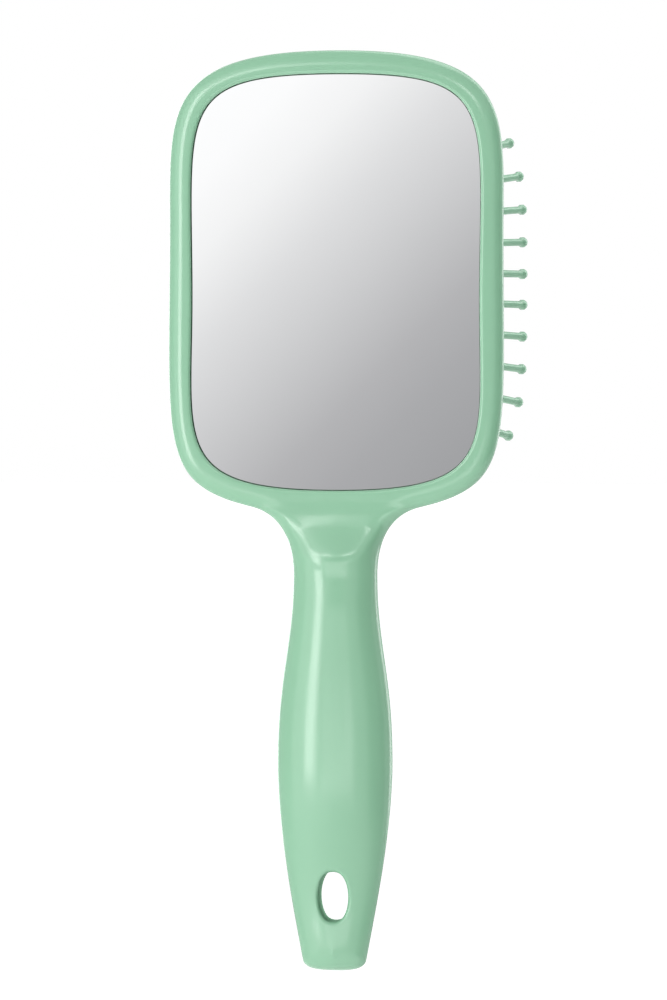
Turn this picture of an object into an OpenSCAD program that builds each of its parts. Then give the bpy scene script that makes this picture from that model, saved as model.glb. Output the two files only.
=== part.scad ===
// Paddle hairbrush with a mirror let into its back.
// The brush stands upright on its handle: +Z runs from the handle to the head,
// -Y is the mirror side, +Y the side of the pins, and X goes across.
// The origin lies on the handle's axis, at the widest part of the grip.

/* [Overall] */
// Length of the whole brush
brush_len = 235; // [215:1:255]
// Width of the head at its widest
head_w = 85.8; // [83:0.2:92]
// Distance from the top down to where the head is widest
head_mid_drop = 45; // [42:0.2:50]
// Distance from the top down to the shoulders, where the head turns into the neck
shoulder_drop = 116.4; // [116:0.2:121]
// Width across the shoulders
shoulder_w = 43.8; // [40:0.2:48]

/* [Handle] */
// Width of the neck at its narrowest
neck_w = 21.7; // [20:0.1:24]
// Distance from the shoulders down to the narrowest point of the neck
neck_drop = 17.6; // [16:0.1:22]
// Width of the grip at its widest
grip_w = 29.7; // [26:0.1:34]
// Height of the widest point of the grip above the handle's end
grip_z = 53.6; // [48:0.2:60]
// Width of the handle just above its end
end_w = 16.4; // [15:0.1:19]
// Radius of the corners at the handle's end
end_r = 2.9; // [1.5:0.1:4]
// Depth of the neck behind the widest line, towards the mirror side
neck_back = 6.3; // [4.5:0.1:8]
// Depth of the neck in front of the widest line
neck_front = 7.6; // [6:0.1:9]
// Depth of the grip behind the widest line
grip_back = 7; // [5.5:0.1:9]
// Depth of the grip in front of the widest line
grip_front = 8; // [6.5:0.1:10]
// Depth of the handle's end behind the widest line
end_back = 3.7; // [3.5:0.1:6]
// Depth of the handle's end in front of the widest line
end_front = 4.3; // [4:0.1:6]
// Length over which the handle's end is domed
end_dome = 5.6; // [4.5:0.1:6.5]
// Length of the ramp that rises from the rim to the fold across the back of the neck
ramp_len = 13.4; // [10:0.2:18]
// Distance from the mirror's lower edge down to the start of the ramp
ramp_gap = 2.9; // [2.5:0.1:6]
// Radius-like softness of the fold round the ramp
ramp_soft = 0.7; // [0.3:0.1:1.5]

/* [Hang hole] */
// Width of the hang hole at its throat
hole_w = 7.6; // [6:0.1:9]
// Height of the hang hole at its throat
hole_h = 12.8; // [9:0.1:16]
// Height of the hang hole's centre above the handle's end
hole_z = 19.1; // [17:0.1:24]
// How far the rounded mouth of the hole flares out on each face
hole_flare = 1; // [0.6:0.1:1.2]
// Depth of the rounded mouth on each face
hole_flare_depth = 1.7; // [1:0.1:1.8]

/* [Mirror side] */
// How far the rim stands behind the widest line of the head
rim_back = 2.4; // [2:0.1:4]
// Width of the rounded outer side of the rim
rim_round = 4.2; // [3:0.1:4.8]
// Width of the rim beside the mirror
rim_side_w = 6.1; // [5.4:0.1:8]
// Width of the rim above the mirror
rim_top_w = 6.2; // [5.6:0.1:8]
// Radius of the rim's inner lip
lip_r = 0.8; // [0.4:0.1:1]
// Distance from the shoulders up to the mirror's lower edge
mirror_low = 4.4; // [4:0.1:8]
// Thickness of the mirror glass
mirror_t = 1.8; // [1.5:0.1:2.2]
// Depth of the mirror's face below the top of the rim
mirror_recess = 1.4; // [1:0.1:1.8]
// Gap all round the mirror glass
mirror_gap = 0.3; // [0.2:0.05:0.5]
// Thickness of the foam tape that holds the mirror
tape_t = 0.5; // [0.4:0.1:1]
// How far the tape stays inside the mirror's edge
tape_inset = 3; // [2:0.5:6]
// Thickness of the wall between the mirror and the air chamber
web_t = 1.5; // [1.2:0.1:2]

/* [Cushion side] */
// How far the front rim stands in front of the widest line of the head
rim_front = 9.5; // [9:0.1:12]
// Width of the rounded outer side of the front rim
front_round = 5.5; // [4.5:0.1:5.5]
// Width of the front rim beside the cushion
front_side_w = 6.3; // [6.1:0.1:7.2]
// Width of the front rim above the cushion
front_top_w = 9; // [8.5:0.1:10]
// Height of the opening for the cushion
opening_h = 102; // [97:0.2:102.4]
// Squareness of the opening, 2 for an oval
opening_square = 5; // [4.5:0.1:6]
// Thickness of the lip that holds the cushion's edge
ledge_t = 1.5; // [1.2:0.1:2]
// How far the lip reaches over the cushion's edge
ledge_w = 2.4; // [1.8:0.1:2.6]

/* [Cushion] */
// Thickness of the rubber cushion
pad_t = 1.6; // [1.2:0.1:2]
// Height of the cushion's crown above its edge
pad_crown = 8.4; // [6:0.1:10]
// How far the edge of the cushion's crown lies below the front rim
pad_edge_drop = 0.9; // [0.5:0.1:1.2]
// Thickness of the cushion's clamped edge
pad_flange_t = 1.4; // [1:0.1:1.8]
// Thickness of the rubber at the edge of the crown
pad_edge_t = 1; // [0.8:0.1:1.4]
// Gap all round the cushion in its opening
pad_gap = 0.3; // [0.2:0.05:0.5]
// Width of the retaining ring behind the cushion's edge
ring_w = 2.6; // [2.2:0.1:2.8]
// Diameter of the air vent in the cushion
vent_d = 1.6; // [1:0.1:2.5]
// Height of the air vent above the bottom of the opening
vent_gap = 5; // [4:0.1:6]
// How far the cushion and its pins sink when pressed
press_travel = 3; // [1:0.1:3]

/* [Pins] */
// Number of pins in each full row
pins_per_row = 10; // [9:1:10]
// Number of pins that the first and the last row lack
pins_left_out = 2; // [2:1:4]
// Distance from the top of the opening to the first row, at the roots of its pins
row_top_gap = 9.2; // [9:0.1:11]
// Distance from the bottom of the opening to the last row, at the roots of its pins
row_bottom_gap = 8.6; // [8:0.1:10]
// Distance from the side of the opening to the outermost pins, at their roots
pin_side_gap = 2.3; // [2.3:0.1:4]
// Diameter of a pin's shaft
pin_d = 1.9; // [1.6:0.05:2.2]
// Diameter of a pin's ball tip
ball_d = 2.7; // [2.3:0.05:3.2]
// Length of a pin from the cushion's face to the centre of its ball
pin_len = 21; // [16:0.1:22]
// Diameter of the flange at a pin's root
root_d = 3; // [2.6:0.1:3]
// Thickness of the flange at a pin's root
root_t = 0.9; // [0.6:0.1:1]
// Lean of the outermost pins to the side
lean_side = 30.5; // [28:0.5:32]
// Lean of the pins in the second and the last but one row
lean_end = 9.7; // [8:0.1:12]
// Gap between a pin's shaft and its hole in the cushion
pin_gap = 0.05; // [0.02:0.01:0.1]
// Gap between the rubber and the flange below it
root_gap = 0.35; // [0.3:0.05:0.5]
// How much further down the flanges sit next to the edge of the cushion
root_sink = 2.2; // [1.8:0.1:2.6]

/* [Inside] */
// Width of the cores in the handle, as a part of its width
core_share = 0.56; // [0.4:0.02:0.6]
// Depth of the cores behind the widest line
core_back = 3.2; // [2:0.1:3.6]
// Depth of the cores in front of the seam
core_front = 2; // [1:0.1:2.4]
// Solid length between the hang hole and the cores
core_margin = 10; // [6:0.5:14]
// Thickness of the cross ribs between the cores
rib_t = 8; // [7:0.5:10]
// Diameter of the locating pegs
peg_d = 3; // [2.4:0.1:3.6]
// Length of the locating pegs
peg_l = 3; // [2:0.1:3.5]
// Gap round a locating peg
peg_gap = 0.1; // [0.05:0.05:0.2]

/* [Colours] */
// Colour of the moulded plastic and the pins
shell_colour = "#98cbad";
// Colour of the mirror glass
mirror_colour = "#d8dadc";
// Colour of the foam tape
tape_colour = "#f0f0ec";
// Colour of the rubber cushion
pad_colour = "#8cc3a3";
// Colour of the retaining ring
ring_colour = "#e6ebe7";

/* [Hidden] */

// Steps along the half outline, one number for each of its stretches
steps_top = 18;
steps_side = 18;
steps_shoulder = 7;
steps_neck = 9;
steps_grip = 9;
steps_lower = 6;
steps_hole = 8;
steps_end = 5;
// Rows of points from the widest line to the top of each shell
rows_back = 12;
rows_front = 10;
rows_lip = 3;
// Angle of the outline at the shoulders, and slope of the sides at the handle's end
shoulder_angle = 13.4;
end_taper = 0.187;
// How far the handles of each curve reach, as shares of its half width or of its height
top_pull = [1.061, 0.66];
side_pull = [0.78, 1.202];
neck_pull = [0.555, 0.66];
grip_pull = [0.367, 0.466];
lower_pull = [0.344, 0.26];
corner_pull = 0.785;
mirror_pull = [1.155, 0.848, 0.772];
// Share of the mirror's height, from its lower edge, at which it is widest
mirror_share = 0.458;

// Depths, counted along Y from the widest line of the head
mirror_face_y = mirror_recess - rim_back;
tape_y = mirror_face_y + mirror_t;
seat_y = tape_y + tape_t;
seam_y = seat_y + web_t;
ledge_y = rim_front - ledge_t;
flange_y = ledge_y - pad_flange_t;
pad_edge_y = rim_front - pad_edge_drop;

// Heights above the handle's end
head_mid_z = brush_len - head_mid_drop;
shoulder_z = brush_len - shoulder_drop;
neck_z = shoulder_z - neck_drop;
mirror_w = head_w - 2 * rim_side_w;
mirror_top = brush_len - rim_top_w;
mirror_bottom = shoulder_z + mirror_low;
mirror_mid_z = mirror_bottom + mirror_share * (mirror_top - mirror_bottom);
ramp_top_z = mirror_bottom - ramp_gap;
opening_w = head_w - 2 * front_side_w;
opening_z = brush_len - front_top_w - opening_h / 2;
opening_low = opening_z - opening_h / 2;
hole_top = hole_z + hole_h / 2 + hole_flare;
hole_low = hole_z - hole_h / 2 - hole_flare;

// The field of pins, and how much narrower its second and last but one rows are
row_taper = 0.07;
rows_count = 12;
row_pitch = (opening_h - row_top_gap - row_bottom_gap) / (rows_count - 1);
first_row_z = opening_z + opening_h / 2 - row_top_gap;
pin_reach = opening_w / 2 - pin_side_gap;

// ---- Curves ----

function bezier(p, t) = let (s = 1 - t)
    p[0] * s * s * s + p[1] * 3 * s * s * t + p[2] * 3 * s * t * t + p[3] * t * t * t;

function bezier_slope(p, t) = let (s = 1 - t)
    (p[1] - p[0]) * s * s + (p[2] - p[1]) * 2 * s * t + (p[3] - p[2]) * t * t;

function unit(v) = v / norm(v);

// Smooth step from 0 to 1 as z goes from a to b
function ease(z, a, b) = let (s = max(0, min(1, (z - a) / (b - a)))) s * s * (3 - 2 * s);

// Right half of the outline, from the top of the head down to the end of the handle
top_curve = [
    [0, brush_len], [top_pull[0] * head_w / 2, brush_len],
    [head_w / 2, head_mid_z + top_pull[1] * head_mid_drop], [head_w / 2, head_mid_z]
];
shoulder_dir = [cos(shoulder_angle), sin(shoulder_angle)];
shoulder_point = [shoulder_w / 2, shoulder_z];
side_curve = [
    [head_w / 2, head_mid_z], [head_w / 2, head_mid_z - side_pull[0] * (head_mid_z - shoulder_z)],
    shoulder_point + shoulder_dir * side_pull[1] * (head_w - shoulder_w) / 2, shoulder_point
];
neck_curve = [
    shoulder_point, shoulder_point - shoulder_dir * neck_pull[0] * (shoulder_w - neck_w) / 2,
    [neck_w / 2, neck_z + neck_pull[1] * neck_drop], [neck_w / 2, neck_z]
];
grip_curve = [
    [neck_w / 2, neck_z], [neck_w / 2, neck_z - grip_pull[0] * (neck_z - grip_z)],
    [grip_w / 2, grip_z + grip_pull[1] * (neck_z - grip_z)], [grip_w / 2, grip_z]
];
end_point = [end_w / 2, end_r];
lower_curve = [
    [grip_w / 2, grip_z], [grip_w / 2, grip_z - lower_pull[0] * (grip_z - end_r)],
    end_point + [end_taper, 1] * lower_pull[1] * (grip_z - end_r), end_point
];
corner_curve = [
    end_point, end_point - [end_taper, 1] * corner_pull * end_r, [end_w / 2 - end_r, 0], [0, 0]
];

// Right half of the mirror's outline, from top to bottom
mirror_upper = [
    [0, mirror_top], [mirror_pull[0] * mirror_w / 2, mirror_top],
    [mirror_w / 2, mirror_mid_z + mirror_pull[1] * (mirror_top - mirror_mid_z)],
    [mirror_w / 2, mirror_mid_z]
];
mirror_lower = [
    [mirror_w / 2, mirror_mid_z],
    [mirror_w / 2, mirror_mid_z - mirror_pull[2] * (mirror_mid_z - mirror_bottom)],
    [mirror_pull[0] * mirror_w / 2, mirror_bottom], [0, mirror_bottom]
];
// Least straight length of the hang hole's throat on either side of the seam
throat_min = 0.3;
// Share of the lower handle curve above the hang hole, and below it
hole_start = 0.52;
hole_stop = 0.82;

// Point and outward normal of a curve, the curve running down the right-hand side
function on_curve(c, t) = let (d = unit(bezier_slope(c, t))) [bezier(c, t), [-d[1], d[0]]];

function stretch(c, a, b, steps) = [for (i = [0 : steps - 1]) on_curve(c, a + (b - a) * i / steps)];

// Stations down the right-hand side: [point, outward normal]
half_outline = concat(
    stretch(top_curve, 0, 1, steps_top),
    stretch(side_curve, 0, 1, steps_side),
    stretch(neck_curve, 0, 0.5, steps_shoulder),
    stretch(neck_curve, 0.5, 1, steps_neck),
    stretch(grip_curve, 0, 1, steps_grip),
    stretch(lower_curve, 0, hole_start, steps_lower),
    stretch(lower_curve, hole_start, hole_stop, steps_hole),
    stretch(lower_curve, hole_stop, 1, 2),
    stretch(corner_curve, 0, 1, steps_end),
    [[[0, 0], [0, -1]]]
);
side_last = steps_top + steps_side;
head_last = side_last + steps_shoulder;
neck_last = head_last + steps_neck;
hole_first = neck_last + steps_grip + steps_lower;
hole_last = hole_first + steps_hole;
half_last = len(half_outline) - 1;

// Mirror's outline: u runs from 0 at its top over 1 at its widest to 2 at its bottom
function mirror_on(u) = u < 1 ? on_curve(mirror_upper, u) : on_curve(mirror_lower, u - 1);

// The u at which the mirror's outline lies straight inside outline station i
function inside(i, lo = 0, hi = 2, n = 20) = n == 0 ? (lo + hi) / 2
    : let (mid = (lo + hi) / 2, out = half_outline[i][1],
        past = (mirror_on(mid)[0] - half_outline[i][0]) * [out[1], -out[0]])
        past > 0 ? inside(i, lo, mid, n - 1) : inside(i, mid, hi, n - 1);

// Stations on the mirror's outline, for the head only
inside_last = inside(side_last);
half_mirror = concat(
    [[[0, mirror_top], [0, 1]]],
    [for (i = [1 : side_last]) mirror_on(inside(i))],
    [for (k = [1 : steps_shoulder - 1]) mirror_on(inside_last + (2 - inside_last) * k / steps_shoulder)],
    [[[0, mirror_bottom], [0, -1]]]
);

// The opening for the cushion: a superellipse grown by d, met by the ray from its centre to p
function gauge(x, z, d = 0) = pow(
    pow(abs(x) / (opening_w / 2 + d), opening_square)
    + pow(abs(z) / (opening_h / 2 + d), opening_square), 1 / opening_square);

opening_aim = [for (i = [0 : head_last])
    let (s = max(0, i - side_last) / steps_shoulder)
    i <= side_last ? half_outline[i][0] : [shoulder_point[0] * (1 - s), shoulder_point[1]]];

function opening_at(i, d = 0) = let (v = opening_aim[i] - [0, opening_z])
    [0, opening_z] + v / gauge(v[0], v[1], d);

// The hang hole: right half of an oval grown by d, from top to bottom
function hole_at(i, d = 0) = let (a = 180 * (i - hole_first) / steps_hole)
    [(hole_w / 2 + d) * pow(sin(a), 0.8), hole_z + (hole_h / 2 + d) * cos(a)];

// Where a station's ribbon ends: at the lip of the mirror or cushion, on the handle's
// axis, or at the mouth of the hang hole
function axis_z(i, lip_z) =
    i <= neck_last ? lip_z + (neck_z - lip_z) * (i - head_last) / steps_neck
    : i <= hole_first ? let (low = half_outline[hole_first][0][1])
        hole_top + (neck_z - hole_top) * (half_outline[i][0][1] - low) / (neck_z - low)
    : hole_low + (end_dome - hole_low) * (i - hole_last) / (half_last - hole_last);

function back_end(i) =
    i <= head_last ? half_mirror[i][0] + half_mirror[i][1] * (mirror_gap + lip_r)
    : i > hole_first && i < hole_last ? hole_at(i, hole_flare)
    : [0, axis_z(i, mirror_bottom - mirror_gap - lip_r)];

function front_end(i) =
    i <= head_last ? opening_at(i, lip_r)
    : i > hole_first && i < hole_last ? hole_at(i, hole_flare)
    : [0, axis_z(i, opening_low - lip_r)];

// ---- Section of the body ----

// Quarter circle: 0 at the widest line, 1 at the top
function arch(t) = sqrt(max(0, 1 - (1 - min(1, t)) * (1 - min(1, t))));

// The lower of two heights, rounded over r where they meet
function soft_min(a, b, r) = let (k = max(0, r - abs(a - b)) / max(r, 1e-6)) min(a, b) - k * k * r / 4;

// The ramp is scooped flat out of the neck: height h at z cut down to it
function scooped(h, z) = let (s = max(0, (ramp_top_z - z) / ramp_len))
    s == 0 ? h
    : soft_min(h, rim_back + (neck_back - rim_back) * pow(s, 1.5), ramp_soft * min(1, 2 * s));

function handle_depth(z, neck, grip, tip) =
    neck + (grip - neck) * ease(z, neck_z, grip_z) + (tip - grip) * ease(z, grip_z, hole_low);

function back_depth(z) = rim_back
    + (handle_depth(z, neck_back, grip_back, end_back) - rim_back)
    * ease(z, ramp_top_z, ramp_top_z - 1.08 * ramp_len);
function front_depth(z) = rim_front
    + (handle_depth(z, neck_front, grip_front, end_front) - rim_front) * ease(z, opening_low, neck_z);

// Width of the rounded side at a station: fixed on the head, the whole depth on the handle
function round_w(i, len, rim) = rim + (len - rim) * ease(i, side_last, neck_last);

// Height of the surface at share t of a ribbon that reaches len straight inwards
function rise(i, t, len, z, rim_h, rim_r, depth) =
    rim_h * arch(t * max(1, len / round_w(i, len, rim_r))) + (depth - rim_h) * arch(t);

function back_point(i, t) = let (
    p = half_outline[i][0], v = back_end(i) - p, m = p + v * t,
    h = rise(i, t, -v * half_outline[i][1], m[1], rim_back, rim_round, back_depth(m[1])))
    [m[0], -scooped(h, m[1]), m[1]];

function front_point(i, t) = let (
    p = half_outline[i][0], v = front_end(i) - p, m = p + v * t,
    h = rise(i, t, -v * half_outline[i][1], m[1], rim_front, front_round, front_depth(m[1])))
    [m[0], h, m[1]];

// Share of the ribbon at which the front surface is y high
function share_at(i, y, lo = 0, hi = 1, n = 22) = n == 0 ? (lo + hi) / 2
    : let (mid = (lo + hi) / 2) front_point(i, mid)[1] < y ? share_at(i, y, mid, hi, n - 1)
    : share_at(i, y, lo, mid, n - 1);

seam_share = [for (i = [0 : half_last]) share_at(i, seam_y)];

function seam_point(i) = let (p = front_point(i, seam_share[i])) [p[0], seam_y, p[2]];

// Columns of points, one for each station, from the seam to the end of the ribbon
function back_column(i) = concat(
    [seam_point(i), front_point(i, seam_share[i] * 0.3)],
    [for (j = [0 : rows_back]) back_point(i, 1 - cos(90 * j / rows_back))]);

function front_column(i) = concat([seam_point(i)],
    [for (j = [1 : rows_front])
        front_point(i, seam_share[i] + (1 - seam_share[i]) * (1 - cos(90 * pow(j / rows_front, 0.8))))]);

function at_y(p, y) = [p[0], y, p[1]];

// Rounded lip and wall down into the mirror's seat
function seat_column(i) = let (m = half_mirror[i], top = -back_point(i, 1)[1]) concat(
    [for (j = [1 : rows_lip]) let (a = 90 * j / rows_lip)
        at_y(m[0] + m[1] * (mirror_gap + lip_r * (1 - sin(a))), lip_r * (1 - cos(a)) - top)],
    [at_y(m[0] + m[1] * mirror_gap, seat_y)]);

// Rounded lip, ledge and pocket round the cushion
function pocket_column(i) = let (top = front_point(i, 1)[1]) concat(
    [for (j = [1 : rows_lip]) let (a = 90 * j / rows_lip)
        at_y(opening_at(i, lip_r * (1 - sin(a))), top - lip_r * (1 - cos(a)))],
    [at_y(opening_at(i), ledge_y), at_y(opening_at(i, ledge_w), ledge_y),
        at_y(opening_at(i, ledge_w), seam_y)]);

// Rounded mouth and throat of the hang hole, from the outside at top in to the seam
function mouth_column(i, top) = let (
    depth = min(hole_flare_depth, abs(top - seam_y) - throat_min) * sign(top - seam_y)) concat(
    [for (j = [1 : rows_lip]) let (a = 90 * j / rows_lip)
        at_y(hole_at(i, hole_flare * (1 - sin(a))), top - depth * (1 - cos(a)))],
    [at_y(hole_at(i), seam_y)]);

// ---- Solids from columns ----

function flip(p) = [-p[0], p[1], p[2]];

// Two triangles across each gap between neighbouring columns a and b, turned by side
function quad(a, b, c, d, side) = side > 0 ? [[a, b, c], [a, c, d]] : [[c, b, a], [d, c, a]];

function strips(first, last, rows, stride, base, side) = [
    for (i = [first : last - 1]) for (j = [0 : rows - 1])
        let (a = base + (i - first) * stride + j)
            for (f = quad(a, a + 1, a + stride + 1, a + stride, side)) f
];

// A list of [points, faces] joined into one, each part's faces moved on by the points before it
function joined(parts, k = 0, n = 0) = k == len(parts) ? [[], []]
    : let (rest = joined(parts, k + 1, n + len(parts[k][0])))
        [concat(parts[k][0], rest[0]),
         concat([for (f = parts[k][1]) [for (v = f) v + n]], rest[1])];

// A skin through neighbouring columns, on both halves
function skin(columns, side = 1) = let (
    rows = len(columns[0]), pts = [for (c = columns) for (p = c) p],
    f = strips(0, len(columns) - 1, rows - 1, rows, 0, side),
    g = strips(0, len(columns) - 1, rows - 1, rows, 0, -side))
    joined([[pts, f], [[for (p = pts) flip(p)], g]]);

// A flat face through a right-hand list of points and its mirror image, in one turn or the other
function plate(right, side = 1) = let (
    n = len(right), left = [for (i = [n - 1 : -1 : 0]) if (right[i][0] > 1e-6) flip(right[i])],
    all = concat(right, left), m = len(all))
    [all, [side > 0 ? [for (i = [0 : m - 1]) i] : [for (i = [m - 1 : -1 : 0]) i]]];

// Triangles from a middle point to a curve of points, on both halves
function fan(middle, curve, side = 1) = let (
    n = len(curve), pts = concat([middle], curve),
    f = [for (i = [1 : n - 1]) side > 0 ? [0, i, i + 1] : [0, i + 1, i]],
    g = [for (i = [1 : n - 1]) side > 0 ? [0, i + 1, i] : [0, i, i + 1]])
    joined([[pts, f], [[for (p = pts) flip(p)], g]]);

module solid(parts) {
    s = joined(parts);
    polyhedron(points = s[0], faces = s[1], convexity = 10);
}

// ---- Pieces ----

module placed() {
    translate([0, 0, -grip_z]) children();
}

// A flat piece: the outline in X and Z, standing from y to y + t
module flat(y, t) {
    translate([0, y + t, 0]) rotate([90, 0, 0]) linear_extrude(height = t) children();
}

function both_sides(right) = concat(right,
    [for (i = [len(right) - 1 : -1 : 0]) if (right[i][0] > 1e-6) [-right[i][0], right[i][1]]]);

module mirror_outline(d) {
    polygon(both_sides([for (m = half_mirror) m[0] + m[1] * d]));
}

module opening_outline(d) {
    polygon(both_sides([for (i = [0 : head_last]) opening_at(i, d)]));
}

// The handle's outline narrowed to the cores, between two heights
module core_outline(low, high) {
    n = 8;
    width = [for (k = [0 : n]) let (z = low + (high - low) * k / n) [handle_half(z) * core_share, z]];
    polygon(both_sides(width));
}

// Half the handle's width at height z, read from the outline
function handle_half(z) = lookup(z,
    [for (i = [half_last : -1 : neck_last - 4]) [half_outline[i][0][1], half_outline[i][0][0]]]);

// Heights at which the cross ribs stand, with a locating peg on each
core_low = hole_top + core_margin;
core_high = neck_z;
rib_z = [core_low + (core_high - core_low) / 3, core_low + (core_high - core_low) * 2 / 3];

module cores(y, t) {
    edges = concat([core_low], rib_z, [core_high]);
    for (k = [0 : len(edges) - 2])
        flat(y, t) core_outline(edges[k] + rib_t / 2, edges[k + 1] - rib_t / 2);
}

module pegs(d, l, y) {
    for (z = rib_z)
        translate([0, y, z]) rotate([90, 0, 0]) cylinder(h = l, d = d, $fn = 32);
}

module back_shell() {
    color(shell_colour) placed() difference() {
        solid([
            skin([for (i = [0 : half_last]) back_column(i)], -1),
            skin([for (i = [0 : head_last]) concat([back_point(i, 1)], seat_column(i))], -1),
            skin([for (i = [hole_first : hole_last])
                concat([back_point(i, 1)], mouth_column(i, back_point(i, 1)[1]))], -1),
            plate([for (i = [0 : head_last]) seat_column(i)[rows_lip]], 1),
            plate(concat([for (i = [0 : hole_first]) seam_point(i)],
                [at_y(hole_at(hole_first), seam_y)]), -1),
            skin([for (i = [hole_first : hole_last]) [at_y(hole_at(i), seam_y), seam_point(i)]], -1),
            plate(concat([at_y(hole_at(hole_last), seam_y)],
                [for (i = [hole_last : half_last]) seam_point(i)]), -1)
        ]);
        cores(-core_back, core_back + seam_y + 1);
        pegs(peg_d + 2 * peg_gap, peg_l + peg_gap + 1, seam_y + 1);
    }
}

module front_shell() {
    color(shell_colour) placed() {
        difference() {
            solid([
                skin([for (i = [0 : half_last]) front_column(i)], 1),
                skin([for (i = [0 : head_last]) concat([front_point(i, 1)], pocket_column(i))], 1),
                skin([for (i = [hole_first : hole_last])
                    concat([front_point(i, 1)], mouth_column(i, front_point(i, 1)[1]))], 1),
                skin([for (i = [0 : head_last])
                    [at_y(opening_at(i, ledge_w), seam_y), seam_point(i)]], 1),
                plate(concat([at_y(opening_at(head_last, ledge_w), seam_y)],
                    [for (i = [head_last : hole_first]) seam_point(i)],
                    [at_y(hole_at(hole_first), seam_y)]), 1),
                skin([for (i = [hole_first : hole_last]) [at_y(hole_at(i), seam_y), seam_point(i)]], 1),
                plate(concat([at_y(hole_at(hole_last), seam_y)],
                    [for (i = [hole_last : half_last]) seam_point(i)]), 1)
            ]);
            cores(seam_y - 1, core_front + 1);
        }
        pegs(peg_d, peg_l, seam_y);
    }
}

module mirror_glass() {
    color(mirror_colour) placed() flat(mirror_face_y, mirror_t) mirror_outline(0);
}

module mirror_tape() {
    color(tape_colour) placed() flat(tape_y, tape_t) mirror_outline(-tape_inset);
}

module cushion_ring() {
    color(ring_colour) placed() flat(seam_y, flange_y - seam_y) difference() {
        opening_outline(ledge_w - pad_gap);
        opening_outline(ledge_w - pad_gap - ring_w);
    }
}

// ---- Cushion and pins ----

// Crown of the cushion: s is 0 in its middle and 1 at its edge
function crown(s) = sqrt(max(0, 1 - pow(min(1, s), 2.6)));
function pad_face(s) = pad_edge_y + pad_crown * crown(s);
function pad_inner(s) = pad_edge_y - pad_edge_t + (pad_crown + pad_edge_t - pad_t) * crown(s);

pad_rings = 9;

// Station i of the opening's outline grown by d, drawn in to a share s of its distance
function pad_at(i, d, s = 1) = let (c = [0, opening_z]) c + (opening_at(i, d) - c) * s;

// From the middle of the face out to the edge, round the clamped edge and back inside
function pad_column(i) = concat(
    [for (j = [1 : pad_rings]) let (s = sin(90 * j / pad_rings))
        at_y(pad_at(i, -pad_gap, s), pad_face(s))],
    [at_y(pad_at(i, -pad_gap), ledge_y), at_y(pad_at(i, ledge_w - pad_gap), ledge_y),
        at_y(pad_at(i, ledge_w - pad_gap), flange_y), at_y(pad_at(i, -pad_gap - pad_t), flange_y)],
    [for (j = [pad_rings : -1 : 1]) let (s = sin(90 * j / pad_rings))
        at_y(pad_at(i, -pad_gap - pad_t, s), pad_inner(s))]);

// Share of the way from the middle of the cushion to its edge at a point of its face
function pad_share(x, z) = gauge(x, z - opening_z, -pad_gap);

// How far down its axis a pin's flange lies, clear below the rubber
function root_depth(s) = pad_t + root_gap + root_sink * pow(s, 10);

// Each pin: [x, z, lean to the side, lean along the brush]
function row_z(r) = first_row_z - r * row_pitch;
function row_share(r) = abs(r - (rows_count - 1) / 2) / ((rows_count - 3) / 2);
function row_pins(r) = let (
    ends = r == 0 || r == rows_count - 1, n = pins_per_row - (ends ? pins_left_out : 0),
    reach = ends ? pin_reach * (n - 1) / (pins_per_row - 1)
        : pin_reach * (1 - row_taper * pow(row_share(r), 5)),
    way = r < rows_count / 2 ? 1 : -1)
    [for (c = [0 : n - 1]) let (x = reach * (2 * c / (n - 1) - 1))
        [x, row_z(r), sign(x) * lean_side * pow(abs(x) / pin_reach, 1.7),
            way * lean_end * pow(row_share(r), 1.4)]];

// Children stand at a pin's root with +Z up its shaft
module at_pin(pin) {
    translate([pin[0], pad_face(pad_share(pin[0], pin[1])), pin[1]])
        rotate([pin[3], 0, -pin[2]]) rotate([-90, 0, 0]) children();
}

module cushion() {
    columns = [for (i = [0 : head_last]) pad_column(i)];
    last = len(columns[0]) - 1;
    color(pad_colour) placed() difference() {
        solid([
            skin(columns, -1),
            fan([0, pad_face(0), opening_z], [for (c = columns) c[0]], -1),
            fan([0, pad_inner(0), opening_z], [for (c = columns) c[last]], 1)
        ]);
        for (r = [0 : rows_count - 1]) for (pin = row_pins(r))
            at_pin(pin) translate([0, 0, -5]) cylinder(h = 7, d = pin_d + 2 * pin_gap, $fn = 16);
        translate([0, ledge_y, opening_low + vent_gap])
            rotate([-90, 0, 0]) cylinder(h = 2 * pad_crown, d = vent_d, $fn = 16);
    }
}

module pin_row(r) {
    color(shell_colour) placed() for (pin = row_pins(r)) at_pin(pin) {
        foot = root_depth(pad_share(pin[0], pin[1])) + root_t;
        translate([0, 0, -foot]) cylinder(h = root_t, d = root_d, $fn = 24);
        translate([0, 0, -foot]) cylinder(h = foot + pin_len, d = pin_d, $fn = 24);
        translate([0, 0, pin_len]) sphere(d = ball_d, $fn = 24);
    }
}

back_shell();
front_shell();
mirror_glass();  // mirror
mirror_tape();
cushion_ring();
cushion();
pin_row(0);  // pin_row_01
pin_row(1);  // pin_row_02
pin_row(2);  // pin_row_03
pin_row(3);  // pin_row_04
pin_row(4);  // pin_row_05
pin_row(5);  // pin_row_06
pin_row(6);  // pin_row_07
pin_row(7);  // pin_row_08
pin_row(8);  // pin_row_09
pin_row(9);  // pin_row_10
pin_row(10);  // pin_row_11
pin_row(11);  // pin_row_12
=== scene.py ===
import math

import bmesh
import bpy
from mathutils import Matrix, Quaternion, Vector, geometry
from mathutils.kdtree import KDTree


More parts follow.
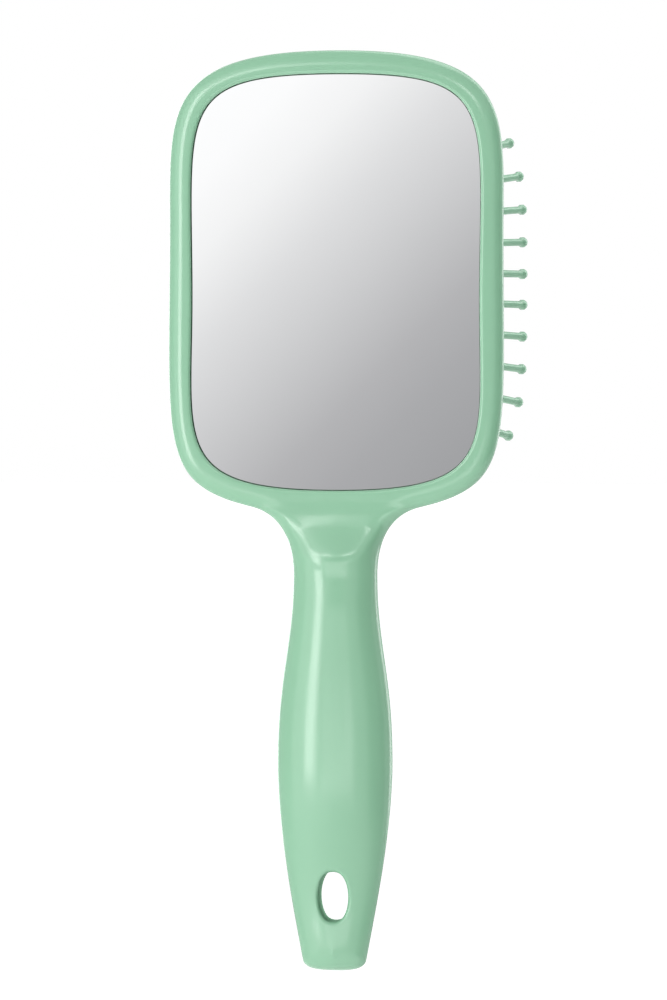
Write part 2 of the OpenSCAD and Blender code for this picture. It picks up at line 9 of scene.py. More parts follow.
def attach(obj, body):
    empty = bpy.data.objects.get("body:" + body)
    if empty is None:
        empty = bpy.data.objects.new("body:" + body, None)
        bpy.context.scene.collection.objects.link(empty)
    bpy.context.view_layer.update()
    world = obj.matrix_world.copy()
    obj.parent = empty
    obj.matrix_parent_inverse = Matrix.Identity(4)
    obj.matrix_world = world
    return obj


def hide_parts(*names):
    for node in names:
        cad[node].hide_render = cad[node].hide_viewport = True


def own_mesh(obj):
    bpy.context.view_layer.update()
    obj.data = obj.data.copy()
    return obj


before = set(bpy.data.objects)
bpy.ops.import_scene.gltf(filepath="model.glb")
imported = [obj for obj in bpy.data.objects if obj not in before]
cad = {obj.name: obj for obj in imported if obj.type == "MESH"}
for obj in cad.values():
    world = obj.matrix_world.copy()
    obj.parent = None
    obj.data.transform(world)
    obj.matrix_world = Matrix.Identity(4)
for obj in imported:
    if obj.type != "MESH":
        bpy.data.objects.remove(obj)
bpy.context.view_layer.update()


# ---- Camera and studio ----

# What the camera looks at, its distance, the height it takes in there, its turn, rise and roll.
AIM = Vector((0.0, 0.0, 0.0639))
FAR = 1.3
FRAME_HEIGHT = 0.2554
AZIMUTH = math.radians(7.5)
ELEVATION = math.radians(1.2)
ROLL = math.radians(0.1)


def camera():
    back = Vector((
        math.sin(AZIMUTH) * math.cos(ELEVATION),
        -math.cos(AZIMUTH) * math.cos(ELEVATION),
        math.sin(ELEVATION),
    ))
    data = bpy.data.cameras.new("camera")
    data.sensor_width = 36
    data.lens = 36 * FAR / FRAME_HEIGHT
    data.shift_x, data.shift_y = -0.0019, 0.01115
    data.clip_start = 0.05
    data.clip_end = 60
    shot = bpy.data.objects.new("camera", data)
    shot.rotation_mode = "QUATERNION"
    shot.rotation_quaternion = (
        (-back).to_track_quat("-Z", "Y") @ Quaternion((0, 0, 1), ROLL))
    shot.location = AIM + back * FAR
    bpy.context.scene.collection.objects.link(shot)
    bpy.context.scene.camera = shot


def lamp(name, place, aim, size, radiance, lean=0):
    """A rectangular soft lamp turned to what it lights, its top leaning right by some degrees."""
    data = bpy.data.lights.new(name, "AREA")
    data.shape = "RECTANGLE"
    data.size, data.size_y = size
    data.energy = radiance * math.pi * size[0] * size[1]
    made = bpy.data.objects.new(name, data)
    made.location = place
    made.rotation_mode = "QUATERNION"
    turn = (Vector(aim) - Vector(place)).to_track_quat("-Z", "Y")
    made.rotation_quaternion = turn @ Quaternion((0, 0, 1), math.radians(-lean))
    bpy.context.scene.collection.objects.link(made)


# ---- Shader trees ----

class Wire:
    """An output socket of a shader tree. Arithmetic on it adds Math nodes."""

    def __init__(self, socket):
        self.socket = socket

    def math(self, operation, *values):
        return add_node(
            self.socket.id_data, "Math", {"operation": operation}, dict(enumerate(values)))

    def __add__(self, other):
        return self.math("ADD", self, other)

    def __radd__(self, other):
        return self.math("ADD", other, self)

    def __sub__(self, other):
        return self.math("SUBTRACT", self, other)

    def __rsub__(self, other):
        return self.math("SUBTRACT", other, self)

    def __mul__(self, other):
        return self.math("MULTIPLY", self, other)

    def __rmul__(self, other):
        return self.math("MULTIPLY", other, self)


def add_node(tree, kind, settings=None, inputs=None, output=0):
    """A shader node of a kind: its settings first, then its sockets' values or wires."""
    made = tree.nodes.new("ShaderNode" + kind)
    for key, value in (settings or {}).items():
        if key == "stops":
            ramp = made.color_ramp
            while len(ramp.elements) < len(value):
                ramp.elements.new(0.5)
            for stop, (place, colour) in zip(ramp.elements, value):
                stop.position = place
                stop.color = (*colour, 1)
        else:
            setattr(made, key, value)
    for key, value in (inputs or {}).items():
        if isinstance(value, Wire):
            tree.links.new(value.socket, made.inputs[key])
        else:
            made.inputs[key].default_value = value
    return Wire(made.outputs[output])


class Finish:
    """A material with one Principled shader, whose constants are set on its own sockets."""

    def __init__(self, name, **constants):
        self.material = bpy.data.materials.new(name)
        self.material.use_nodes = True
        self.tree = self.material.node_tree
        self.shader = self.tree.nodes["Principled BSDF"]
        for socket, value in constants.items():
            self.shader.inputs[socket.replace("_", " ")].default_value = value

    def node(self, kind, settings=None, inputs=None, output=0):
        return add_node(self.tree, kind, settings, inputs, output)

    def feed(self, socket, wire):
        self.tree.links.new(wire.socket, self.shader.inputs[socket])

    def place(self, **turn):
        """Where on the object a point lies, turned or scaled if asked."""
        spot = self.node("TexCoord", output="Object")
        return self.node("Mapping", None, {"Vector": spot, **turn}) if turn else spot

    def noise(self, scale, detail=3, roughness=0.5, **turn):
        spot = self.place(**turn)
        return self.node("TexNoise", None, {
            "Vector": spot, "Scale": scale, "Detail": detail, "Roughness": roughness})

    def blend(self, share, low, high):
        """A colour between low and high."""
        return self.node(
            "Mix", {"data_type": "RGBA"}, {0: share, 6: (*low, 1), 7: (*high, 1)}, output=2)

    def bump(self, height, depth, onto=None):
        inputs = {"Height": height, "Distance": depth, "Strength": 1.0}
        if onto:
            inputs["Normal"] = onto
        return self.node("Bump", None, inputs)


# ---- Finishes ----

def moulded_green(name, low, high, rough, wave):
    """Glossy moulded plastic: faint flow marks, a slow swell of the surface and hair scratches."""
    made = Finish(name, IOR=1.48)
    made.feed("Base Color", made.blend(made.noise(55, 4, 0.6), low, high))
    handled = made.noise(28, 5, 0.65)
    scratch = made.noise(1, 2, 0.5, Scale=(900, 900, 60), Rotation=(0.2, 0.3, 0.1))
    made.feed("Roughness", rough + (handled - 0.5) * 0.08 + (scratch - 0.5) * 0.05)
    swell = made.bump(made.noise(42, 2, 0.4), wave)
    made.feed("Normal", made.bump(scratch, 0.0000015, swell))
    return made.material


def satin_shaded_green():
    """The same plastic in the hang hole, where the core pin left it dull with drag marks. Its
    colour is painted darker than the body's green: painted shade in the hole.
    """
    made = Finish("satin_shaded_green", IOR=1.48, Specular_IOR_Level=0.12)
    drag = made.noise(1, 3, 0.6, Scale=(1500, 120, 1500))
    # Painted shade: a darker green than the body's, for the shade inside the hole.
    made.feed("Base Color", made.blend(drag, (0.205, 0.415, 0.270), (0.225, 0.450, 0.295)))
    made.feed("Roughness", 0.62 + drag * 0.15)
    made.feed("Normal", made.bump(drag, 0.00001))
    return made.material


def silvered_glass():
    made = Finish("silvered_glass", Metallic=1.0)
    haze = made.noise(35, 3, 0.6)
    made.feed("Base Color", made.blend(haze, (0.93, 0.935, 0.94), (0.95, 0.955, 0.96)))
    made.feed("Roughness", 0.012 + haze * 0.012)
    return made.material


def ground_edge():
    made = Finish("ground_edge", IOR=1.52)
    grind = made.noise(2600, 2, 0.5)
    made.feed("Base Color", made.blend(grind, (0.16, 0.27, 0.20), (0.24, 0.36, 0.28)))
    made.feed("Roughness", 0.35 + grind * 0.2)
    return made.material


def cushion_rubber():
    made = Finish("cushion_rubber", IOR=1.5, Sheen_Weight=0.15, Sheen_Roughness=0.4)
    bloom = made.noise(60, 5, 0.6)
    made.feed("Base Color", made.blend(bloom, (0.215, 0.450, 0.295), (0.240, 0.485, 0.325)))
    grain = made.noise(2400, 3, 0.6)
    made.feed("Roughness", 0.38 + bloom * 0.14)
    made.feed("Normal", made.bump(grain, 0.00002, made.bump(bloom, 0.0001)))
    return made.material


def foam_tape():
    made = Finish("foam_tape", Roughness=0.9)
    cells = made.node("TexVoronoi", None, {"Vector": made.place(), "Scale": 2200})
    made.feed("Base Color", made.blend(cells, (0.62, 0.62, 0.58), (0.80, 0.80, 0.76)))
    made.feed("Normal", made.bump(cells, 0.0001))
    return made.material


def ring_plastic():
    made = Finish("ring_plastic")
    mottle = made.noise(300, 3, 0.6)
    made.feed("Base Color", made.blend(mottle, (0.72, 0.76, 0.73), (0.80, 0.83, 0.81)))
    made.feed("Roughness", 0.4 + mottle * 0.2)
    return made.material


green = moulded_green(
    "moulded_green", (0.232, 0.458, 0.301), (0.246, 0.482, 0.319), 0.18, 0.00003)
# Painted light: the pins' green is painted lighter than the body's green, though they are the same
# plastic, to stand in for the light on them.
lightened_pin_green = moulded_green(
    "lightened_pin_green", (0.262, 0.515, 0.345), (0.280, 0.540, 0.362), 0.20, 0.00001)
throat_shaded_green = satin_shaded_green()


# ---- Pieces ----

def finished(name, bm, body, materials, slot, *nodes):
    """A piece from a bmesh, riding a body and standing for the nodes named."""
    mesh = bpy.data.meshes.new(name)
    bm.to_mesh(mesh)
    bm.free()
    for material in materials:
        mesh.materials.append(material)
    made = bpy.data.objects.new(name, mesh)
    bpy.context.scene.collection.objects.link(made)
    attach(made, body)
    if nodes:
        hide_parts(*nodes)
    return made


def lies_at(item, depth):
    """Whether a face or edge lies flat at a depth."""
    return all(abs(v.co.y - depth) < 1e-5 for v in item.verts)


PAIR_ANGLE = math.radians(40)


def quads_of(node, flats):
    """A merged copy of a solid without its flat faces, its triangles joined in pairs."""
    bm = bmesh.new()
    bm.from_mesh(cad[node].data)
    bmesh.ops.remove_doubles(bm, verts=bm.verts, dist=2e-6)
    flat = [f for f in bm.faces if any(lies_at(f, depth) for depth in flats)]
    bmesh.ops.delete(bm, geom=flat, context="FACES")
    longest = {f: max(f.edges, key=lambda e: e.calc_length()) for f in bm.faces}
    across = [e for e in bm.edges if e.calc_face_angle(math.inf) < PAIR_ANGLE
              and all(longest[f] == e for f in e.link_faces)]
    bmesh.ops.dissolve_edges(bm, edges=across, use_verts=False)
    bmesh.ops.join_triangles(
        bm, faces=[f for f in bm.faces if len(f.verts) == 3], cmp_seam=False, cmp_sharp=False,
        cmp_uvs=False, cmp_vcols=False, cmp_materials=False,
        angle_face_threshold=PAIR_ANGLE, angle_shape_threshold=math.radians(80))
    return bm


def smoothed(bm, levels=2, rounds=10):
    """A finer surface that runs through every point of the one given, creased edges kept."""
    mesh = bpy.data.meshes.new("cage")
    bm.to_mesh(mesh)
    bm.free()
    cage = bpy.data.objects.new("cage", mesh)
    bpy.context.scene.collection.objects.link(cage)
    finer = cage.modifiers.new("finer", "SUBSURF")
    finer.levels = finer.render_levels = 1
    goal = [v.co.copy() for v in mesh.vertices]
    for _ in range(rounds):
        now = cage.evaluated_get(bpy.context.evaluated_depsgraph_get()).data.vertices
        reached = [now[k].co.copy() for k in range(len(goal))]
        for v, aim, near in zip(mesh.vertices, goal, reached):
            v.co += aim - near
        mesh.update()
    finer.levels = finer.render_levels = levels
    fine = bmesh.new()
    fine.from_object(cage, bpy.context.evaluated_depsgraph_get())
    bpy.data.objects.remove(cage)
    return fine


def shade(bm, angle=32):
    """Smooth shading, with edges steeper than the angle left sharp."""
    for f in bm.faces:
        f.smooth = True
    for e in bm.edges:
        e.smooth = e.calc_face_angle(0) < math.radians(angle)


# ---- The moulded body ----

# How far the rim, the neck, the grip and the handle's end stand out on the mirror's side.
RIM_BACK, NECK_BACK, GRIP_BACK, END_BACK = 0.0024, 0.0063, 0.007, 0.0037

# The hollow ramp from the rim up to the neck's crest, and how softly it folds over.
RAMP_TOP, RAMP_LOW, RAMP_LEN = 0.0665, 0.05203, 0.0134
RAMP_FADE = 0.0630
RAMP_POWER = 1.65
FOLD = 0.0019
VALLEY, VALLEY_W = 0.08, 0.0035

# The neck below the ramp: where its shaping starts, the dip below its crest, its side's roll.
NECK_LOW, NECK_FADE = 0.038, 0.046
DIP, DIP_LOW, DIP_TOP = 0.0005, 0.0475, 0.0535
RIM_ROUND = 0.0042

# Shaping of the neck fades in over this share of the way in from its side.
SIDE_FADE = (0.05, 0.22)

# Points nearer to the mirror's side than these belong to the outer skin of neck and rim.
NECK_SKIN, RIM_SKIN = -0.0010, -0.00155

# Sides of the body as curves of (half width, height): shoulder to neck, and grip to end.
SIDE = ((0.0219, 0.0650), (0.015934, 0.063579), (0.01085, 0.059016), (0.01085, 0.0474))
TAIL = ((0.01485, 0.0), (0.01485, -0.01744), (0.010665, -0.03752), (0.0082, -0.0507))

# The handle's lower half, rounded between these heights and blended in over the outer ones.
TAIL_LOW, TAIL_LOW_IN, TAIL_TOP_IN, TAIL_TOP = -0.0485, -0.0425, -0.026, -0.010
TAIL_THINS = -0.0419

# The hang hole: half its width and height, its height on the handle, the width of its mouth,
# and how far the mouth sinks in, on the solid and here.
HOLE_W, HOLE_H, HOLE_Z = 0.0038, 0.0064, -0.0345
FLARE, DROP_CAD, DROP = 0.001, 0.0017, 0.0011

# Depths of the mirror pocket's floor, the seam between the halves and the front's flat face.
POCKET_FLOOR, SEAM, FRONT_FACE = 0.0013, 0.0028, 0.008

# The rounded strip of the rim along the mirror: its drop, its width and the gap to the glass.
LIP, LIP_W, GAP = 0.0006, 0.0009, 0.0003


def step(low, high, value):
    """0 below low, 1 above high, eased between them."""
    s = max(0.0, min(1.0, (value - low) / (high - low)))
    return s * s * (3 - 2 * s)


def half_width(z, side=SIDE):
    """Half the width at a height, from the curve of a side, and how far down it that lies."""
    if z <= side[3][1]:
        return side[3][0], 1.0
    low, high = 0.0, 1.0
    for _ in range(24):
        t = (low + high) / 2
        weights = [n * (1 - t) ** (3 - j) * t ** j for j, n in enumerate((1, 3, 3, 1))]
        x, at = (sum(p[k] * n for p, n in zip(side, weights)) for k in (0, 1))
        low, high = (t, high) if at > z else (low, t)
    return x, t


def arch(t):
    """Quarter circle: 0 at the widest line, 1 at the top."""
    return math.sqrt(max(0.0, 1 - (1 - min(1.0, t)) ** 2))


def neck_depth(x, z):
    """The neck's back, rounded across with a dip below its crest, the ramp scooped out of it."""
    dip = DIP * step(NECK_LOW, DIP_LOW, z) * (1 - step(DIP_LOW, DIP_TOP, z))
    swell = (NECK_BACK - RIM_BACK - dip) * (1 - step(RAMP_LOW, RAMP_TOP, z))
    w, t = half_width(z)
    inwards = 1 - min(1.0, abs(x) / w)
    down = t * 7 / 8 if t < 0.5 else 7 / 16 + (t - 0.5) * 9 / 8
    round_w = RIM_ROUND + (w - RIM_ROUND) * step(0, 1, down)
    full = RIM_BACK * arch(inwards * max(1.0, w / round_w)) + swell * arch(inwards)
    s = max(0.0, (RAMP_TOP - z) / RAMP_LEN)
    spread = (x / VALLEY_W) ** 2
    valley = 1 - VALLEY * spread / (1 + spread)
    ramp = RIM_BACK + (NECK_BACK - RIM_BACK) * s ** RAMP_POWER * valley
    soft = FOLD * min(1.0, 2 * s)
    k = max(0.0, soft - abs(full - ramp)) / max(soft, 1e-9)
    return min(full, ramp) - k * k * soft / 4


def fold_neck(bm):
    """Shapes the neck's back and the fold round the ramp, blended into the body all round."""
    for v in bm.verts:
        x, y, z = v.co
        w = half_width(z)[0]
        if y < NECK_SKIN and NECK_LOW < z < RAMP_TOP and abs(x) < w:
            share = (step(*SIDE_FADE, 1 - abs(x) / w) * step(NECK_LOW, NECK_FADE, z)
                     * (1 - step(RAMP_FADE, RAMP_TOP, z)))
            v.co.y += (-neck_depth(x, z) - y) * share


def tail_depth(z):
    """Depth of the back on the handle's axis, below its widest place."""
    return GRIP_BACK + (END_BACK - GRIP_BACK) * (1 - step(TAIL_THINS, 0.0, z))


def past_hole(x, z):
    """How far outside the hang hole's throat a point lies, up to the width of its mouth."""
    low, high = 0.0, FLARE
    for _ in range(18):
        grown = (low + high) / 2
        out = (abs(x) / (HOLE_W + grown)) ** 2.5 + ((z - HOLE_Z) / (HOLE_H + grown)) ** 2
        low, high = (grown, high) if out > 1 else (low, grown)
    return (low + high) / 2


def round_tail(bm):
    """Rounds the back across the handle's lower half, and sinks the hole's mouth into it."""
    for v in bm.verts:
        x, y, z = v.co
        w = half_width(z, TAIL)[0]
        if not (TAIL_LOW < z < TAIL_TOP and abs(x) < w):
            continue
        share = (1 - step(TAIL_TOP_IN, TAIL_TOP, z)) * step(TAIL_LOW, TAIL_LOW_IN, z)
        top = tail_depth(z)
        smooth = top * math.sqrt(1 - (x / w) ** 2)
        near = past_hole(x, z)
        if near < 0.00001:
            deep = (y - SEAM) / (-(top - DROP_CAD) - SEAM)
            if 0 < deep < 1.001:
                v.co.y = SEAM + deep * (-(smooth - DROP) - SEAM)
        elif y < 0 and near < FLARE * 0.999:
            v.co.y = -smooth + DROP * (1 - arch(near / FLARE))
        elif y < 0:
            v.co.y += (-smooth - y) * share


def widen_lip(bm, outline):
    """Rounds the rim's inner edge over a wider strip along the mirror."""
    tree = KDTree(len(outline))
    for k, point in enumerate(outline):
        tree.insert(point, k)
    tree.balance()
    for v in bm.verts:
        x, y, z = v.co
        if y > RIM_SKIN or z < RAMP_TOP:
            continue
        spot = Vector((x, 0, z))
        k = tree.find(spot)[1]
        beside = (outline[(k + s) % len(outline)] for s in (-1, 1))
        gap = min((spot - geometry.intersect_point_line(spot, outline[k], other)[0]).length
                  for other in beside)
        if gap < GAP + LIP_W:
            u = min(1.0, (GAP + LIP_W - gap) / LIP_W)
            v.co.y = -RIM_BACK + LIP * (1 - math.sqrt(1 - u * u))


def shell(name, node, flats):
    """A smooth copy of a half of the body, crisp at its steep edges and round its flat faces."""
    bm = quads_of(node, flats)
    layer = bm.edges.layers.float.new("crease_edge")
    for e in bm.edges:
        if e.calc_face_angle(0) > math.radians(60):
            e[layer] = 1.0
    bm = smoothed(bm)
    for depth in flats:
        rim = [e for e in bm.edges if e.is_boundary and lies_at(e, depth)]
        bmesh.ops.triangle_fill(
            bm, use_beauty=True, use_dissolve=False, edges=rim, normal=(0, 1, 0))
    if node == "back_shell":
        round_tail(bm)
        fold_neck(bm)
        widen_lip(bm, glass_outline)
    bmesh.ops.recalc_face_normals(bm, faces=bm.faces)
    for f in bm.faces:
        x, _, z = f.calc_center_median()
        near = abs(x) < HOLE_W + FLARE * 1.2 and abs(z - HOLE_Z) < HOLE_H + FLARE * 1.6
        f.material_index = int(near and past_hole(x, z) < FLARE * 0.25)
    shade(bm)
    finished(name, bm, "brush", [green, throat_shaded_green], "body", node)


# ---- The mirror ----

# Depths of the glass's two faces, how much it is grown sideways, its ground bevel.
GLASS_FACE, GLASS_BACK = -0.001, 0.0008
GLASS_GROWN, GLASS_BEVEL = 0.0001, 0.00008


def ordered_outline(bm):
    """The points of the glass's front edge, one after the other round it."""
    start = next(v for v in bm.verts if abs(v.co.y - GLASS_FACE) < 1e-5)
    line, came = [start], None
    while len(line) < 2 or line[-1] != start:
        edge = next(e for e in line[-1].link_edges if e != came and e.is_boundary)
        came = edge
        line.append(edge.other_vert(line[-1]))
    return [Vector((v.co.x, 0, v.co.z)) for v in line[:-1]]


def mirror_piece():
    """Flat glass with a smooth outline and a finely ground edge."""
    bm = glass_wall
    bmesh.ops.recalc_face_normals(bm, faces=bm.faces)
    bm.normal_update()
    middle = sum((v.co for v in bm.verts), Vector()) / len(bm.verts)
    sign = 1 if sum(f.normal.dot(f.calc_center_median() - middle) for f in bm.faces) > 0 else -1
    for v in bm.verts:
        v.co += sign * GLASS_GROWN * Vector((v.normal.x, 0, v.normal.z)).normalized()
    for depth in (GLASS_FACE, GLASS_BACK):
        rim = [e for e in bm.edges if e.is_boundary and lies_at(e, depth)]
        bmesh.ops.contextual_create(bm, geom=rim)
    bmesh.ops.recalc_face_normals(bm, faces=bm.faces)
    face = min(bm.faces, key=lambda f: f.calc_center_median().y - len(f.verts))
    bmesh.ops.bevel(
        bm, geom=list(face.edges), offset=GLASS_BEVEL, segments=2, profile=0.5,
        affect="EDGES", material=-1)
    for f in bm.faces:
        f.material_index = 0 if f.normal.y < -0.999 else 1
    shade(bm, 20)
    finished(
        "mirror_glass", bm, "brush", [silvered_glass(), ground_edge()], "mirror", "mirror")


glass_wall = smoothed(quads_of("mirror", (GLASS_FACE, GLASS_BACK)))
glass_outline = ordered_outline(glass_wall)
shell("moulded_back", "back_shell", (POCKET_FLOOR, SEAM))
shell("moulded_front", "front_shell", (SEAM, FRONT_FACE))
mirror_piece()


# ---- The cushion ----

# Half width, half height and middle of the cushion's face; the depth of its edge, its crown
# and how square its outline is; its clamped flange, its edge's wall and the rubber's thickness.
HALF_W, HALF_H = 0.0363, 0.0507
MID_Z = 0.1214
EDGE_Y, CROWN, SQUARE = 0.0086, 0.0084, 5.0
FLANGE, EDGE_WALL, RUBBER_T = 0.0021, 0.0006, 0.0013


def share_at(x, z):
    """0 in the middle of the cushion, 1 at its edge."""
    return (abs(x / HALF_W) ** SQUARE + abs((z - MID_Z) / HALF_H) ** SQUARE) ** (1 / SQUARE)


def face_y(x, z):
    """The crown of the cushion's face."""
    return EDGE_Y + CROWN * math.sqrt(max(0.0, 1 - min(1.0, share_at(x, z)) ** 2.6))


def squash(made):
    """Gives the piece a mesh of its own."""
    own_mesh(made)


def cushion_piece():
    """The crowned face, its low edge wall and the flange that the ring clamps."""
    bm = bmesh.new()
    bmesh.ops.create_grid(bm, x_segments=150, y_segments=200, size=1.0)
    for v in bm.verts:
        u, w = v.co.x, v.co.y
        m = max(abs(u), abs(w))
        gauge = (abs(u) ** SQUARE + abs(w) ** SQUARE) ** (1 / SQUARE)
        share = math.sin(math.pi / 2 * m) / gauge if gauge > 1e-9 else 0.0
        x, z = u * share * HALF_W, MID_Z + w * share * HALF_H
        v.co = (x, face_y(x, z), z)
    rim = [e for e in bm.edges if e.is_boundary]
    wall = bmesh.ops.extrude_edge_only(bm, edges=rim)["geom"]
    for v in wall:
        if isinstance(v, bmesh.types.BMVert):
            v.co.y -= EDGE_WALL
    rim = [e for e in wall if isinstance(e, bmesh.types.BMEdge) and e.is_boundary]
    for v in bmesh.ops.extrude_edge_only(bm, edges=rim)["geom"]:
        if isinstance(v, bmesh.types.BMVert):
            v.co.x *= (HALF_W + FLANGE) / HALF_W
            v.co.z = MID_Z + (v.co.z - MID_Z) * (HALF_H + FLANGE) / HALF_H
    bmesh.ops.recalc_face_normals(bm, faces=bm.faces)
    if sum(f.normal.y for f in bm.faces) < 0:
        bmesh.ops.reverse_faces(bm, faces=bm.faces)
    bmesh.ops.solidify(bm, geom=bm.faces, thickness=RUBBER_T)
    for f in bm.faces:
        f.smooth = True
    made = finished("air_cushion", bm, "brush", [rubber], "cushion", "cushion")
    squash(made)


rubber = cushion_rubber()
cushion_piece()


# ---- The pins ----

# Rows, pins in a full row and how many fewer an end row has; the top row's height and the
# rows' spacing; half a row's reach and what the outer rows lose of it; the outermost lean.
ROWS, PINS, LEFT_OUT = 12, 10, 2
FIRST_Z, PITCH = 0.1632, 0.0842 / (ROWS - 1)
REACH, TAPER = 0.0343, 0.07
LEAN_SIDE, LEAN_END = 30.5, 9.7

# A pin's length, its radii and its foot's thickness; the shaft's taper and where it meets the
# ball; how deep the foot lies below the rubber's face, and how much more at the edge.
PIN_LEN, SHAFT_R, BALL_R, FOOT_R, FOOT_T = 0.021, 0.00100, 0.00141, 0.0015, 0.0009
SHAFT_TAPER, SHAFT_END = 0.97, 0.0014
FOOT_DEEP, FOOT_EXTRA = 0.00195, 0.0022

# Outline of a collar, as (radius, height) above the rubber's face.
COLLAR = ((0.00103, -0.0003), (0.00103, 0.00022), (0.00138, 0.00032), (0.00178, 0.00014),
          (0.00215, -0.0003), (0.00103, -0.0003))

# Flat sides round a pin or collar.
SIDES = 10


def row_of_pins(row):
    """Each pin of a row: its root on the rubber, its lean to the side and along the brush."""
    end = row in (0, ROWS - 1)
    count = PINS - (LEFT_OUT if end else 0)
    share = abs(row - (ROWS - 1) / 2) / ((ROWS - 3) / 2)
    reach = REACH * (count - 1) / (PINS - 1) if end else REACH * (1 - TAPER * share ** 5)
    along = LEAN_END * share ** 1.4 * (1 if row < ROWS / 2 else -1)
    z = FIRST_Z - row * PITCH
    for k in range(count):
        x = reach * (2 * k / (count - 1) - 1)
        side = math.copysign(LEAN_SIDE * (abs(x) / REACH) ** 1.7, x)
        yield Vector((x, face_y(x, z), z)), side, along


def turned(bm, outline, steps, place):
    """A closed outline of (radius, height) points, spun round its axis and put in its place."""
    before = set(bm.verts)
    line = [bm.verts.new((r, 0, h)) for r, h in outline]
    edges = [bm.edges.new(pair) for pair in zip(line, line[1:])]
    bmesh.ops.spin(
        bm, geom=line + edges, cent=(0, 0, 0), axis=(0, 0, 1), dvec=(0, 0, 0),
        angle=2 * math.pi, steps=steps, use_merge=True, use_duplicate=False)
    new = [v for v in bm.verts if v not in before]
    bmesh.ops.remove_doubles(bm, verts=new, dist=1e-7)
    new = [v for v in bm.verts if v not in before]
    bmesh.ops.transform(bm, matrix=place, verts=new)


def pin_outline(foot):
    """From the flange under the rubber up the shaft and round the ball."""
    angles = [math.radians(d) for d in (50, 77, 104, 131, 156)]
    ball = [(BALL_R * math.sin(a), PIN_LEN - BALL_R * math.cos(a)) for a in angles]
    return [
        (0, -foot), (FOOT_R, -foot), (FOOT_R, -foot + FOOT_T), (SHAFT_R, -foot + FOOT_T),
        (SHAFT_R * SHAFT_TAPER, PIN_LEN - SHAFT_END),
    ] + ball + [(0, PIN_LEN + BALL_R)]


def pins_piece(row):
    """A row of pins, whose feet lie deeper towards the cushion's edge."""
    bm = bmesh.new()
    for root, side, along in row_of_pins(row):
        foot = FOOT_DEEP + FOOT_EXTRA * share_at(root.x, root.z) ** 10 + FOOT_T
        place = (Matrix.Translation(root) @ Matrix.Rotation(math.radians(-side), 4, "Z")
                 @ Matrix.Rotation(math.radians(along - 90), 4, "X"))
        turned(bm, pin_outline(foot), SIDES, place)
    bmesh.ops.recalc_face_normals(bm, faces=bm.faces)
    shade(bm, 50)
    number = f"{row + 1:02d}"
    finished("pins_" + number, bm, "pins", [lightened_pin_green], "pins", "pin_row_" + number)


def square_to_rubber(x, z, reach=0.0002):
    """The direction straight out of the cushion's face."""
    slope_x = (face_y(x + reach, z) - face_y(x - reach, z)) / (2 * reach)
    slope_z = (face_y(x, z + reach) - face_y(x, z - reach)) / (2 * reach)
    return Vector((-slope_x, 1, -slope_z)).normalized()


def pin_collars():
    """The low rolled collar of rubber round the foot of each pin."""
    bm = bmesh.new()
    for row in range(ROWS):
        for root, _, _ in row_of_pins(row):
            turn = square_to_rubber(root.x, root.z).to_track_quat("Z", "X")
            turned(bm, COLLAR, SIDES, Matrix.Translation(root) @ turn.to_matrix().to_4x4())
    bmesh.ops.recalc_face_normals(bm, faces=bm.faces)
    for f in bm.faces:
        f.smooth = True
    squash(finished("pin_collars", bm, "brush", [rubber], "cushion"))


for row in range(ROWS):
    pins_piece(row)
pin_collars()


# ---- Tape and ring: the solids in their own finishes ----

def dress(node, material):
    cad[node].data.materials.clear()
    cad[node].data.materials.append(material)


dress("mirror_tape", foam_tape())
dress("cushion_ring", ring_plastic())


# ---- Studio ----

# The room's plain level of light; the tones of the graded card and how far they are spread.
LIGHT = 0.285
TONES = (
    (0.00, (1.05, 1.05, 1.05)), (0.12, (1.03, 1.03, 1.03)), (0.24, (0.95, 0.95, 0.95)),
    (0.39, (0.775, 0.775, 0.78)), (0.55, (0.63, 0.63, 0.637)), (0.71, (0.485, 0.483, 0.493)),
    (0.82, (0.427, 0.427, 0.438)), (1.00, (0.372, 0.374, 0.384)),
)
TONES_SPAN = 0.29
CARD = Vector((-0.132, -1.0, 0.146))
FLAG = Vector((0.92, -0.60, 0.08))
FLOOR_Z = -0.4


def seen(tree):
    """1 for rays from the camera and for mirrored or refracted ones, 0 for the rays that light."""
    rays = tree.nodes.new("ShaderNodeLightPath")
    total = Wire(rays.outputs["Is Camera Ray"]) + Wire(rays.outputs["Is Glossy Ray"])
    total = total + Wire(rays.outputs["Is Transmission Ray"])
    return total.math("MINIMUM", total, 1)


def white_room():
    """The world: white where it is seen or mirrored, and a plain level of light elsewhere."""
    world = bpy.data.worlds.new("studio")
    world.use_nodes = True
    bpy.context.scene.world = world
    tree = world.node_tree
    shade = tree.nodes["Background"]
    shade.inputs["Color"].default_value = (1, 1, 1, 1)
    tree.links.new((seen(tree) * (1 - LIGHT) + LIGHT).socket, shade.inputs["Strength"])


def stage_sheet(name, size, place, aim, material):
    """A flat sheet of the studio, facing what it is aimed at."""
    bm = bmesh.new()
    bmesh.ops.create_grid(bm, x_segments=1, y_segments=1, size=0.5)
    bmesh.ops.scale(bm, vec=(size[0], size[1], 1), verts=bm.verts)
    mesh = bpy.data.meshes.new(name)
    bm.to_mesh(mesh)
    bm.free()
    mesh.materials.append(material)
    made = bpy.data.objects.new(name, mesh)
    made.location = place
    made.rotation_mode = "QUATERNION"
    made.rotation_quaternion = (Vector(aim) - Vector(place)).to_track_quat("Z", "Y")
    bpy.context.scene.collection.objects.link(made)
    return made


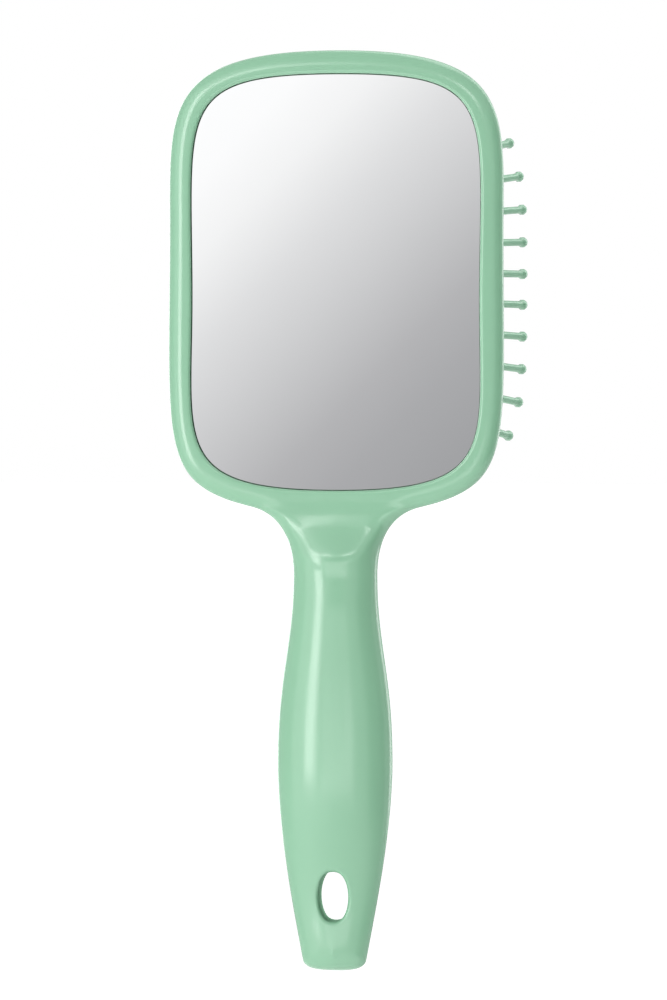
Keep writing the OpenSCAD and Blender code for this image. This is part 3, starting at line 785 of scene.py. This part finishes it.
def floor():
    """A pale floor that takes the shadow and is white where nothing shades it."""
    made = Finish(
        "pale_floor", Base_Color=(0.9, 0.9, 0.9, 1), Roughness=0.9, Emission_Strength=1.0)
    made.feed("Emission Color", made.blend(seen(made.tree), (0, 0, 0), (0.80, 0.80, 0.80)))
    stage_sheet("floor", (60, 60), (0, 0, FLOOR_Z), (0, 0, 1), made.material)


def graded_card():
    """The sheet that the mirror shows: white at the upper left, falling off to grey."""
    made = Finish(
        "graded_card", Base_Color=(0, 0, 0, 1), Specular_IOR_Level=0.0, Emission_Strength=1.0)
    across = made.node("SeparateXYZ", None, {0: made.place()})
    up = Wire(across.socket.node.outputs[1])
    fall = (across * -1 - up) * (1 / TONES_SPAN) + 0.5
    made.feed("Emission Color", made.node("ValToRGB", {"stops": TONES}, {0: fall}))
    sheet = stage_sheet("graded_card", (0.5, 0.6), CARD, (CARD.x, 0, CARD.z), made.material)
    sheet.visible_camera = sheet.visible_diffuse = sheet.visible_shadow = False


def flag():
    """A black screen at the right, which keeps light off the edges that turn that way."""
    made = Finish(
        "black_screen", Base_Color=(0.01, 0.01, 0.01, 1), Roughness=0.9,
        Specular_IOR_Level=0.1)
    sheet = stage_sheet("flag", (0.9, 0.9), FLAG, (0, 0, FLAG.z), made.material)
    sheet.visible_camera = sheet.visible_shadow = False


bpy.context.scene.view_settings.view_transform = "Standard"
white_room()
floor()
graded_card()
flag()
lamp("key", (-0.575, -1.055, 0.20), (0, 0, 0.08), (0.25, 0.82), 7.0, lean=6)
lamp("wall_left", (-0.80, -1.15, 0.10), (0, 0, 0.10), (1.2, 2.0), 1.45)
lamp("front", (-0.02, -0.98, -0.10), (0, 0, -0.01), (0.56, 0.25), 2.8)
lamp("upper_left", (-0.22, -0.90, 0.42), (0, 0, 0.05), (0.18, 0.15), 6.0)
lamp("upper_right", (0.13, -0.92, 0.42), (0, 0, 0.05), (0.20, 0.13), 6.5)
lamp("top", (0.25, 0.15, 1.15), (0.05, 0.02, 0.1), (0.9, 0.6), 3.0)
lamp("above_pins", (0.75, 0.35, 0.85), (0.04, 0.03, 0.12), (0.6, 0.6), 3.5)
lamp("edge", (0.98, 0.69, 0.25), (0, 0, 0.08), (0.4, 1.0), 3.5)
lamp("far_left", (-0.75, 0.95, 0.35), (0, 0, 0.08), (0.6, 1.2), 2.2)
camera()
